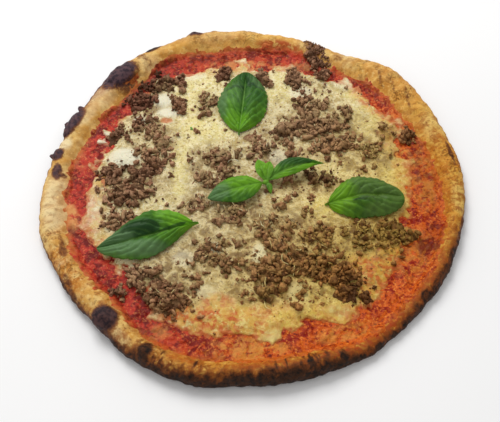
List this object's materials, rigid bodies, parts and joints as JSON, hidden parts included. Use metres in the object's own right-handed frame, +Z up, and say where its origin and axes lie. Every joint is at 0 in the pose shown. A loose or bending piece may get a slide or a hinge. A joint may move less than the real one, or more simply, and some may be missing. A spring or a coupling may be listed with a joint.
{
  "type": "bolognese pizza",
  "caption": "Whole round bolognese pizza with a blistered, charred rim, tomato sauce, melted cheese, browned mince and basil leaves, for laying on a board or plate.",
  "frame": {"origin": "the middle of the flat underside, straight below the middle of the round outline", "axes": "+Z up out of the topping side, -Y towards the eater, +X to the eater's right"},
  "size_m": [0.3131, 0.3168, 0.0191],
  "materials": {
    "crust": "baked dough, pale to golden, charred in places",
    "tomato_sauce": "moist tomato sauce",
    "cheese": "melted cheese with a thin film of oil",
    "mince": "browned minced meat",
    "basil": "fresh leaf, softly glossy"
  },
  "bodies": {
    "root": {"basil_leaf_east": "basil", "basil_leaf_north": "basil", "basil_leaf_south_west": "basil", "basil_sprig": "basil", "cheese": "cheese", "crust": "crust", "mince_by_north_leaf": "mince", "mince_centre_west": "mince", "mince_east_cheesy": "mince", "mince_east_edge": "mince", "mince_east_of_sprig": "mince", "mince_east_small": "mince", "mince_north": "mince", "mince_north_east": "mince", "mince_north_east_inner": "mince", "mince_north_east_small": "mince", "mince_north_inner": "mince", "mince_north_of_sprig": "mince", "mince_north_west": "mince", "mince_north_west_crumb": "mince", "mince_on_rim": "mince", "mince_south": "mince", "mince_south_middle": "mince", "mince_south_of_sprig": "mince", "mince_south_west": "mince", "mince_south_west_edge": "mince", "mince_under_east_leaf": "mince", "mince_west": "mince", "mince_west_lower": "mince", "mince_west_of_sprig": "mince", "mince_west_outer": "mince", "sauce": "tomato_sauce"}
  },
  "joints": []
}
